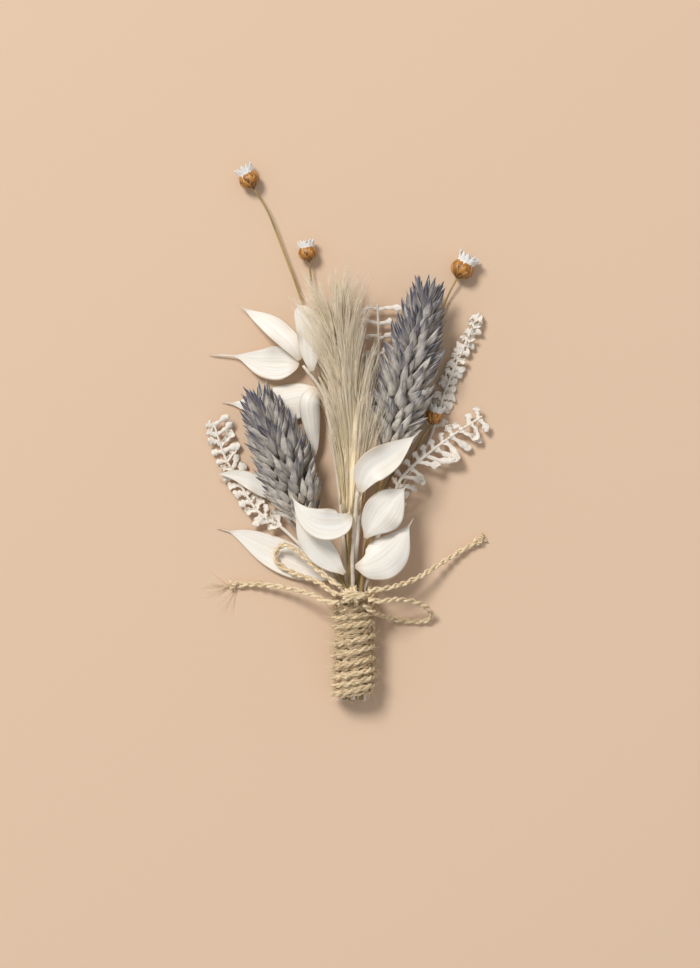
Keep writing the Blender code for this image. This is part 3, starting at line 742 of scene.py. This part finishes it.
FERNS = {
    "fern_left": dict(
        slot=(-2, 0),
        outside=[(-5.6, 4.8, 5.0), (-10, 9.5, 4.2), (-15, 14.6, 3.6), (-19.7, 18.9, 3.3),
                 (-24.6, 21.9, 2.7),
                 (-27.9, 25.7, 2.1), (-31, 31, 1.6), (-33.7, 35.6, 1.5), (-35.4, 39.2, 1.7),
                 (-38, 47.3, 2.4)],
        first=0.42, pinnae=14, left=((0, 3.2), (0.5, 3.6), (1, 2.8)), right=((0, 3.4),
        (0.5, 4.6), (1, 6.2)),
        width=1.5, lean=66, hook=1.0, seed=31,
    ),
    "fern_right": dict(
        slot=(2, 0),
        outside=[(4.2, 6, 5.6), (6.5, 14.8, 5.8), (10, 24.3, 5.5), (13.4, 32.4, 5.0), (20.2, 38.6, 4.2),
                 (27.5, 44, 3.3), (35.1, 48.9, 2.6)],
        first=0.3, pinnae=15, left=((0, 2.4), (0.5, 2.8), (1, 3.2)), right=((0, 4.2),
        (0.45, 6.0), (0.7, 8.4), (1, 4.6)),
        width=1.35, lean=72, hook=0.6, seed=32,
    ),
    "fern_upper_right": dict(
        slot=(1, -2),
        outside=[(3.5, 8, 2.2), (9, 22, 1.4), (15, 33, 1.1), (20.4, 41.6, 0.9),
                 (22.8, 48.6, 0.9), (25.4, 56.7, 1.4),
                 (29.4, 66.1, 2.0), (34.3, 77, 2.4)],
        first=0.6, pinnae=16, left=((0, 3.2), (1, 1.3)), right=((0, 3.4), (1, 1.4)),
        width=1.9, lean=74, hook=1.5, seed=33,
    ),
    "fern_top": dict(
        slot=(0, -2),
        outside=[(0.8, 10, 2.2), (2.5, 30, 1.8), (4.8, 50, 2.0), (6.8, 64.8, 2.6),
                 (6.9, 72, 3.1), (6.6, 79.4, 3.6)],
        first=0.78, pinnae=5, left=((0, 4.6), (1, 5.4)), right=((0, 3.0), (0.6, 4.0), (1, 6.8)),
        width=1.0, lean=75, hook=1.1, seed=34,
    ),
}


def pinna_grids(rng, roots, ways, ups, lengths, width, hook, rows=16, columns=9):
    """Fern leaflets: narrow near the midrib, broad and lobed further out, rolled, with a hooked end."""
    count = len(roots)
    side = unit(np.cross(ways, ups))
    t = np.linspace(0, 1, rows)
    a = np.linspace(-1, 1, columns)
    turn = rng.normal(0.5 * hook, 0.5, (count, 1)) * t[None] ** 2 * 1.5
    tilt = rng.normal(0.0, 0.35, (count, 1)) * t[None] * 1.2
    hooked = np.sin(turn) * rng.choice((-1, 1), (count, 1))
    heading = ways[:, None] * np.cos(turn)[..., None] + side[:, None] * hooked[..., None]
    heading = unit(heading + ups[:, None] * tilt[..., None])
    step = np.reshape(lengths, (-1, 1, 1)) / (rows - 1)
    spine = roots[:, None] + np.cumsum(heading * step, axis=1) - heading[:, :1] * step
    across = unit(np.cross(heading, ups[:, None]))
    lift = np.cross(across, heading)
    lobes = 1 + 0.2 * np.sin(t[None] * rng.uniform(13, 19, (count, 1)) + rng.uniform(0, 6, (count, 1)))
    half = width * (0.42 + 0.62 * np.exp(-(((t - 0.78) / 0.26) ** 2)) + 0.3 * np.exp(-((t / 0.14) ** 2)))
    half = half[None] * lobes * np.sqrt((1 - t**6).clip(0.02))[None] * rng.uniform(0.8, 1.15, (count, 1))
    bend = rng.uniform(0.5, 1.5, (count, 1, 1)) * rng.choice((-1, 1), (count, 1, 1), p=(0.7, 0.3))
    reach = np.abs(a)[None, None]
    x = np.sign(a) * half[..., None] * np.sin(bend * reach) / bend
    z = half[..., None] * (1 - np.cos(bend * reach)) / bend
    phase = np.sign(a) + rng.uniform(0, 6, (count, 1, 1))
    ruffle = 0.22 * width * reach**2 * np.sin(t[None, :, None] * 21 + phase)
    z = z + ruffle
    grid = spine[:, :, None] + across[:, :, None] * x[..., None] + lift[:, :, None] * z[..., None]
    return np.maximum(grid, (-1e9, -1e9, 0.2))


def build_fern(name, look, finish):
    form = FERNS[name]
    rng = np.random.default_rng(form["seed"])
    line = stem_line(*form["slot"], form["outside"], 160)
    shape = Shape()
    shape.rods(line, np.linspace(0.5, 0.22, len(line)), 8, 0.7)
    for sign, table in ((-1, form["left"]), (1, form["right"])):
        at = np.linspace(form["first"], 0.985, form["pinnae"]) + rng.normal(0, 0.003, form["pinnae"])
        index = (at * (len(line) - 1)).astype(int).clip(2, len(line) - 2)
        roots = line[index]
        tangent = unit(line[index + 1] - line[index - 1])
        side = unit(np.cross(tangent, (0, 0, 1))) * sign
        lean = np.radians(form["lean"] + rng.normal(0, 7, form["pinnae"]))[:, None]
        ways = unit(tangent * np.cos(lean) + side * np.sin(lean) + rng.normal(0, 0.08, (form["pinnae"], 3)))
        lengths = np.interp(np.linspace(0, 1, form["pinnae"]), *zip(*table))
        lengths = lengths * rng.uniform(0.85, 1.15, form["pinnae"])
        ups = unit(np.array((0, 0, 1.0)) + rng.normal(0, 0.25, (form["pinnae"], 3)))
        grids = pinna_grids(rng, roots, ways, ups, lengths, form["width"], form["hook"])
        shape.sheets(grids, rng.uniform(0, 1, form["pinnae"]))
    return shape.piece(name, finish, [name], look.fern_thickness / MM)


def build_ferns(look):
    finish = fern_finish(look)
    for name in FERNS:
        build_fern(name, look, finish)


# ---- the button flowers ----------------------------------------------------------------

BUTTONS = {  # slot column and row, the stem outside the handle, the way the flower faces, its size
    "button_a": (
        (-0.5, -1),
        [(-1.6, 10, 3.1), (-3.2, 30, 2.1), (-6, 50, 1.8), (-10, 66, 1.9), (-14.4, 81.5, 2.3),
         (-18.9, 93.7, 2.6),
         (-23.2, 104.6, 2.9), (-27.0, 110.9, 3.0)],
        (-0.46, 0.89, 0.05), 1.12,
    ),
    "button_b": (
        (0, 0),
        [(-0.5, 10, 4.4), (-1.8, 30, 3.3), (-4, 50, 3.2), (-7.5, 66, 3.1), (-10.2, 78, 2.9),
         (-12.0, 91.0, 2.9)],
        (-0.15, 0.98, 0.08), 1.0,
    ),
    "button_c": (
        (0.5, -1),
        [(2.3, 8, 3.3), (7.2, 25, 2.2), (12, 36, 1.4), (15.9, 47, 1.0), (21.0, 65, 1.0),
         (24.8, 79, 1.6),
         (28.2, 86.4, 2.9)],
        (0.5, 0.86, 0.1), 1.25,
    ),
    "button_d": (
        (1.5, -1),
        [(4.5, 8, 3.9), (9.6, 22, 3.5), (14.6, 34, 3.2), (18.2, 42, 3.4), (21.2, 46.6, 4.0)],
        (0.3, 0.95, 0.1), 0.95,
    ),
}
CUP_RADII = ((0, 0.5), (0.5, 1.45), (1.3, 2.15), (2.3, 2.35), (3.1, 2.1),
(3.8, 1.7))  # height, radius in mm
DISC_HAIRS = 60
PETAL_ROWS = ((3.1, 11, 2.6), (3.4, 9, 2.3), (3.3, 6, 1.8))
BRACT_ROWS = ((0.3, 6, 2.2), (0.9, 7, 2.5), (1.6, 8, 2.6), (2.3, 8, 2.3))  # height, how many, length


def scale_grids(rng, seat, facing, rows, size, flare=0.0, width=1.5, slender=1.0):
    """Pointed scales in rings round a cup, each lying on the row below."""
    along = np.linspace(0, 1, 9)
    a = np.linspace(-1, 1, 7)
    right = unit(np.cross(facing, (0.0, 0.0, 1.0)))
    top = np.cross(right, facing)
    grids = []
    for level, (height, count, length) in enumerate(rows):
        for k in range(count):
            turn = 2 * math.pi * (k + 0.5 * (level % 2)) / count + rng.normal(0, 0.06)
            grow = length * rng.uniform(0.88, 1.12)
            heights = height + along * grow
            radii = np.interp(heights, *zip(*CUP_RADII)) + 0.10 + 0.12 * along
            radii = radii + flare * along**1.6 * rng.uniform(0.7, 1.3)
            half = width * 0.5 * (np.sin(math.pi * (0.2 + 0.8 * along) ** slender) ** 0.75).clip(0.03)
            spread = turn + a[None] * half[:, None] / radii[:, None]
            radii = radii[:, None] - 0.1 * a[None] ** 2
            ring = right * np.cos(spread)[..., None] + top * np.sin(spread)[..., None]
            grids.append(seat + size * (facing * heights[:, None, None] + ring * radii[..., None]))
    return np.array(grids)


def build_button(name, bract, petal, straw):
    (column, row), outside, facing, size = BUTTONS[name]
    rng = np.random.default_rng(sum(map(ord, name)))
    stem(f"{name}_stem", column, row, outside, straw, BUTTON_STEM_RADIUS, 0.75, 90)
    facing = unit(np.array(facing))
    seat = np.array(outside[-1]) + facing * 0.1 * size
    cup = Shape()
    heights, radii = np.array(CUP_RADII).T
    at, known = np.linspace(0, 1, 14), np.linspace(0, 1, len(CUP_RADII))
    line = seat + facing * np.interp(at, known, heights)[:, None] * size
    cup.rods(line, np.interp(at, known, radii) * size, 20, 0.1)
    grids = scale_grids(rng, seat, facing, BRACT_ROWS, size)
    cup.sheets(grids, rng.uniform(0, 1, len(grids)))
    cup.piece(f"{name}_bracts", bract, [f"{name}_bracts"], 0.09)
    crown = Shape()
    grids = scale_grids(rng, seat, facing, PETAL_ROWS, size, flare=0.5, width=1.6, slender=0.8)
    crown.sheets(grids, rng.uniform(0, 1, len(grids)))
    centre = unit(facing + rng.normal(0, 0.28, (DISC_HAIRS, 3)))
    starts = seat + facing * 3.6 * size + rng.normal(0, 0.7, (DISC_HAIRS, 3)) * size
    hairs(crown, rng, starts, centre, rng.uniform(0.8, 1.6, DISC_HAIRS) * size, 0.12, 4, 0.2)
    crown.piece(f"{name}_petals", petal, [f"{name}_petals"], 0.07)


def build_buttons(look):
    bract, petal, straw = bract_finish(look), petal_finish(look), straw_finish(look)
    for name in BUTTONS:
        build_button(name, bract, petal, straw)


# ---- the twine -------------------------------------------------------------------------

BOW = {  # each cord leaves the knot and lies down on the surface or on the leaf below it
    "bow_loop_left": [
        on_knot(140, 15), (-5.8, 4.6, 14.0), (-8.9, 7.0, 12.4), (-12.0, 9.8, 10.2), (-15.4, 12.6, 7.8),
        (-18.7, 13.9, 5.2), (-20.9, 12.2, 3.4), (-20.8, 9.3, 2.7), (-17.6, 6.9, 2.7), (-13.0, 5.2, 4.3),
        (-8.8, 3.6, 7.6), (-6.2, 1.8, 11.0), on_knot(178, -15),
    ],
    "bow_tail_left": [
        on_knot(214, -8), (-7.2, -1.1, 11.9), (-11.0, 0.6, 9.6), (-17.1, 2.3, 6.0), (-23.6, 3.0, 3.1),
        (-28.6, 3.1, 1.5), (-33.6, 2.9, 0.95),
    ],
    "bow_tail_right": [
        on_knot(20, 10), (7.4, 2.3, 13.2), (11.4, 3.0, 11.0), (17.2, 5.0, 7.4), (23.2, 8.6, 4.2),
        (29.6, 12.4, 1.9), (36.0, 16.0, 0.95),
    ],
    "bow_loop_right": [
        on_knot(-18, 12), (7.6, -0.9, 13.4), (11.4, -0.5, 11.2), (16.2, -1.3, 7.8), (20.0, -3.0, 5.0),
        (21.3, -5.2, 2.9), (19.4, -6.8, 1.4), (14.6, -6.9, 1.0), (10.0, -6.0, 2.6), (7.5, -4.9, 6.6),
        (5.6, -4.0, 10.4), on_knot(-50, -20),
    ],
}
PLIES, STRANDS = 2, 5
TWIST_PITCH = 5.5  # mm for one full turn of the plies


def ply_twine(shape, line, rng, diameter, fuzz, ends=0.0):
    """Two plies of coarse strands twisted round line, with stray fibres. fuzz is how many a millimetre."""
    steps = max(8, int(length_of(line) / 0.55))
    line = respaced(line, steps)
    _, side, normal = frames(line, (0.13, 0.19, 1))
    s = np.linspace(0, length_of(line), steps)
    loose = 1 + ends * smooth((s / s[-1] - 0.86) / 0.14)
    paths, radii = [], []
    for ply in range(PLIES):
        turn = 2 * math.pi * (s / TWIST_PITCH + ply / PLIES) + 0.35 * np.sin(s * 0.7 + ply)
        out = side * np.cos(turn)[:, None] + normal * np.sin(turn)[:, None]
        centre = line + out * (diameter * 0.235 * loose)[:, None]
        for strand in range(STRANDS):
            inner = 2 * math.pi * (strand / STRANDS - s / 3.6) + rng.uniform(-0.3, 0.3)
            offset = side * np.cos(inner)[:, None] + normal * np.sin(inner)[:, None]
            wander = 1 + 0.3 * np.sin(s * rng.uniform(0.8, 2.2) + rng.uniform(0, 6))
            paths.append(centre + offset * (diameter * 0.15 * wander * loose)[:, None])
            radii.append(diameter * 0.105 * (1 + 0.25 * np.sin(s * rng.uniform(1, 3) + rng.uniform(0, 6))))
    paths = np.array(paths)
    paths[..., 2] = np.maximum(paths[..., 2], 0.15)
    shape.rods(paths, np.array(radii), 4, rng.uniform(0.1, 1, len(paths)), (0.13, 0.19, 1))
    count = int(s[-1] * fuzz)
    at = rng.integers(1, steps - 1, count)
    turn = rng.uniform(0, 2 * math.pi, count)[:, None]
    out = side[at] * np.cos(turn) + normal[at] * np.sin(turn)
    along = unit(line[at + 1] - line[at - 1]) * rng.choice((-1, 1), (count, 1))
    lengths = (rng.gamma(2.0, 0.5, count) + 0.3).clip(0, 1.35)
    starts = line[at] + out * diameter * 0.4
    ways = out * rng.uniform(0.1, 0.8, (count, 1)) + along
    hairs(shape, rng, starts, ways, lengths, 0.045, 5, bend=0.35, droop=0.1)


def winding():
    """The line of the twine round the handle: an uneven helix, then slanting turns over its upper side."""
    lines = []
    turns = 20
    theta = np.linspace(0, 2 * math.pi * turns, turns * 40)
    share = theta / theta[-1]
    radius = 4.6 - 0.3 * np.sin(math.pi * share)
    tilt = 0.55 + 0.5 * np.sin(share * 9.0 + 0.6)
    v = WRAP_START + 0.9 + (WRAP_END - WRAP_START - 1.8) * share - tilt * np.cos(theta + math.pi)
    lines.append(np.stack([radius * np.cos(theta), v, HANDLE_AXIS_W + radius * np.sin(theta)], 1))
    for start, rise, turns, tilt in ((-25.6, 6.5, 3.0, 1.7), (-18.5, 9.0, 3.0, 2.0),
    (-8.0, 8.0, 3.5, 1.2)):
        theta = np.linspace(0, 2 * math.pi * turns, int(turns * 40))
        share = theta / theta[-1]
        over = smooth(0.5 + 0.9 * np.sin(theta))
        radius = 4.5 + 1.15 * over
        v = start + rise * share + tilt * np.cos(theta)
        lines.append(np.stack([radius * np.cos(theta), v, HANDLE_AXIS_W + radius * np.sin(theta)], 1))
    return lines


def build_wrap(look, finish):
    rng = np.random.default_rng(51)
    shape = Shape()
    for line in winding():
        ply_twine(shape, line, rng, look.twine_diameter / MM, 1.2)
        at = rng.integers(2, len(line) - 2, int(length_of(line) * 1.8))
        along = unit(line[at + 1] - line[at - 1])
        out = unit((line[at] - (0, 0, HANDLE_AXIS_W)) * (1, 0, 1))
        slant = np.array((0, 1.0, 0)) * rng.normal(0, 0.5, (len(at), 1))
        ways = along + slant + out * 0.12
        hairs(shape, rng, line[at] + out * 0.75, ways, rng.uniform(2, 6, len(at)), 0.06, 5, 0.12)
    return shape.piece("twine_wrap", finish, ["twine_wrap"])


KNOT_TURNS = (  # the way each turn runs, in degrees, how far it is to one side, and its size
    (-22, 0.9, 0.9), (18, -0.7, 1.0), (-5, 0.0, 1.08), (96, -0.8, 0.85), (78, 1.0, 0.8),
)


def build_knot(look, finish):
    """The knot: turns of the same twine pulled tight over each other."""
    rng = np.random.default_rng(52)
    shape = Shape()
    d = look.twine_diameter / MM
    for turn, shift, grow in KNOT_TURNS:
        theta = np.linspace(0.1, 2 * math.pi * 0.98, 44)
        c, k = math.cos(math.radians(turn)), math.sin(math.radians(turn))
        across = np.cos(theta) * c - 0.3 * shift * k
        along = np.cos(theta) * k + 0.3 * shift * c
        loop = np.stack([across, along, np.sin(theta)], 1)
        ply_twine(shape, KNOT_CENTRE + loop * (KNOT_RADII - 0.45 * d) * grow, rng, d, 3.0)
    return shape.piece("bow_knot", finish, ["bow_knot"])


def build_bow(look, finish):
    rng = np.random.default_rng(53)
    d = look.twine_diameter / MM
    for name, points in BOW.items():
        tail = "tail" in name
        line = route(points, 160)
        shape = Shape()
        ply_twine(shape, line, rng, d, 2.2, ends=1.1 if tail else 0.0)
        made = shape.piece(name, finish, [name])


def build_frayed(finish):
    """Fibres that have come loose from the left tail, near its end and from its middle."""
    rng = np.random.default_rng(54)
    shape = Shape()
    tail = route(BOW["bow_tail_left"], 100)
    for start, way, count, reach in ((tail[-1], (-1, -0.15, 0), 16, 8.0),
    (tail[-6], (-0.6, -1, 0), 6, 9.0),
                                     (tail[70], (-0.8, 0.6, 0), 8, 5.0)):
        ways = np.array(way) + rng.normal(0, 0.3, (count, 3)) * (1, 1, 0.15)
        starts = np.repeat(start[None], count, 0)
        hairs(shape, rng, starts, ways, rng.uniform(0.5, 1, count) * reach, 0.07, 8, 0.25)
    shape.piece("frayed_fibres", finish)


def build_twine(look):
    finish = hair_finish("jute", look.jute_dark_colour, look.jute_light_colour)
    build_wrap(look, finish)
    build_knot(look, finish)
    build_bow(look, finish)
    build_frayed(finish)


# ---- the add-on ------------------------------------------------------------------------


def size_setting(name, description, default):
    facts = dict(name=name, description=description, default=default)
    return FloatProperty(**facts, min=0.0, subtype="DISTANCE", unit="LENGTH", precision=5)


def colour_setting(name, description, default):
    facts = dict(name=name, description=description, default=default)
    return FloatVectorProperty(**facts, size=3, min=0, max=1, subtype="COLOR")


class BOUTONNIERE_PG_look(bpy.types.PropertyGroup):
    """Sizes and colours that a florist would choose."""

    twine_diameter: size_setting("Twine diameter", "Thickness of the jute twine", 0.0017)
    leaf_thickness: size_setting("Leaf thickness", "Thickness of a bleached ruscus leaf", 0.00025)
    fern_thickness: size_setting("Fern thickness", "Thickness of a fern leaflet", 0.0002)
    husk_length: size_setting("Husk length", "Length of one husk of the dyed grass", 0.0092)
    husk_width: size_setting("Husk width", "Width of one husk of the dyed grass", 0.0036)
    plume_strands: IntProperty(
        name="Plume strands", description="How many hairs the plume has", default=3500, min=14
    )
    leaf_colour: colour_setting("Leaf", "Bleached ruscus leaf", (0.93, 0.90, 0.84))
    leaf_edge_colour: colour_setting("Leaf edge", "Rims and tips of leaves", (0.66, 0.52, 0.36))
    fern_colour: colour_setting("Fern", "Bleached fern", (0.92, 0.85, 0.76))
    husk_colour: colour_setting("Husk", "Dyed husk in its middle", (0.33, 0.30, 0.29))
    husk_light_colour: colour_setting("Husk, pale", "Husks that took less dye", (0.72, 0.66, 0.57))
    husk_dye_colour: colour_setting("Husk dye", "Blotches of slate blue dye", (0.24, 0.23, 0.24))
    husk_tip_colour: colour_setting("Husk tip", "Violet tips of the husks", (0.055, 0.055, 0.10))
    husk_edge_colour: colour_setting("Husk edge", "Straw-coloured rims of the husks", (0.76, 0.70, 0.60))
    plume_low_colour: colour_setting("Plume foot", "Golden hair low in the plume", (0.99, 0.79, 0.42))
    plume_high_colour: colour_setting("Plume top", "Silvery hair at the top", (0.99, 0.88, 0.70))
    straw_colour: colour_setting("Straw", "Thin flower stems", (0.36, 0.25, 0.08))
    bract_colour: colour_setting("Bract", "Golden brown bracts", (0.42, 0.17, 0.03))
    bract_edge_colour: colour_setting("Bract edge", "Rims of the bracts", (0.72, 0.42, 0.14))
    petal_colour: colour_setting("Petal", "White petals", (0.86, 0.85, 0.82))
    jute_dark_colour: colour_setting("Jute, dark", "Darker fibres of the twine", (0.62, 0.42, 0.21))
    jute_light_colour: colour_setting("Jute, light", "Paler fibres of the twine", (0.98, 0.82, 0.57))
    floor_colour: colour_setting("Floor", "The plain surface the spray lies on", (0.72, 0.53, 0.38))
    floor_size: size_setting("Floor size", "Side of the square floor", 4.0)
    fill_strength: FloatProperty(
        name="Fill", description="Strength of the light from all around", default=0.45
    )
    key_power: FloatProperty(
        name="Key", description="Power of the main lamp", default=52.0, subtype="POWER", unit="POWER"
    )


class BoutonniereOperator:
    """What the operators share: each runs its own build function with the scene's settings."""

    bl_options = {"REGISTER", "UNDO"}

    def execute(self, context):
        type(self).build(context.scene.boutonniere)
        return {"FINISHED"}


class BOUTONNIERE_OT_stage(BoutonniereOperator, bpy.types.Operator):
    """Set up the floor, the soft light and the camera above the spray"""

    bl_idname = "boutonniere.stage"
    bl_label = "Stage"
    build = staticmethod(build_stage)


class BOUTONNIERE_OT_twine(BoutonniereOperator, bpy.types.Operator):
    """Wind the twine round the handle and tie the bow"""

    bl_idname = "boutonniere.twine"
    bl_label = "Twine and bow"
    build = staticmethod(build_twine)


class BOUTONNIERE_OT_ruscus(BoutonniereOperator, bpy.types.Operator):
    """Grow the bleached ruscus leaves and their stems"""

    bl_idname = "boutonniere.ruscus"
    bl_label = "Ruscus"
    build = staticmethod(build_ruscus)


class BOUTONNIERE_OT_grasses(BoutonniereOperator, bpy.types.Operator):
    """Grow the two dyed canary grass heads and the plume"""

    bl_idname = "boutonniere.grasses"
    bl_label = "Grasses"
    build = staticmethod(build_grasses)


class BOUTONNIERE_OT_ferns(BoutonniereOperator, bpy.types.Operator):
    """Grow the bleached fern fronds"""

    bl_idname = "boutonniere.ferns"
    bl_label = "Ferns"
    build = staticmethod(build_ferns)


class BOUTONNIERE_OT_buttons(BoutonniereOperator, bpy.types.Operator):
    """Grow the small button flowers"""

    bl_idname = "boutonniere.buttons"
    bl_label = "Button flowers"
    build = staticmethod(build_buttons)


OPERATORS = (
    BOUTONNIERE_OT_stage,
    BOUTONNIERE_OT_twine,
    BOUTONNIERE_OT_ruscus,
    BOUTONNIERE_OT_grasses,
    BOUTONNIERE_OT_ferns,
    BOUTONNIERE_OT_buttons,
)


class BOUTONNIERE_PT_panel(bpy.types.Panel):
    """The spray's settings and the buttons that build it"""

    bl_idname = "BOUTONNIERE_PT_panel"
    bl_label = "Boutonniere"
    bl_space_type = "VIEW_3D"
    bl_region_type = "UI"
    bl_category = "Boutonniere"

    def draw(self, context):
        for name in BOUTONNIERE_PG_look.__annotations__:
            self.layout.prop(context.scene.boutonniere, name)
        for operator in OPERATORS:
            self.layout.operator(operator.bl_idname)


CLASSES = (BOUTONNIERE_PG_look, *OPERATORS, BOUTONNIERE_PT_panel)


def register():
    for cls in CLASSES:
        bpy.utils.register_class(cls)
    bpy.types.Scene.boutonniere = PointerProperty(type=BOUTONNIERE_PG_look)


def unregister():
    del bpy.types.Scene.boutonniere
    for cls in reversed(CLASSES):
        bpy.utils.unregister_class(cls)


def write_sizes():
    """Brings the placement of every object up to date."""
    bpy.context.view_layer.update()


def main():
    register()
    for operator in OPERATORS:
        group, name = operator.bl_idname.split(".")
        getattr(getattr(bpy.ops, group), name)()
    write_sizes()


if __name__ == "__main__":
    main()
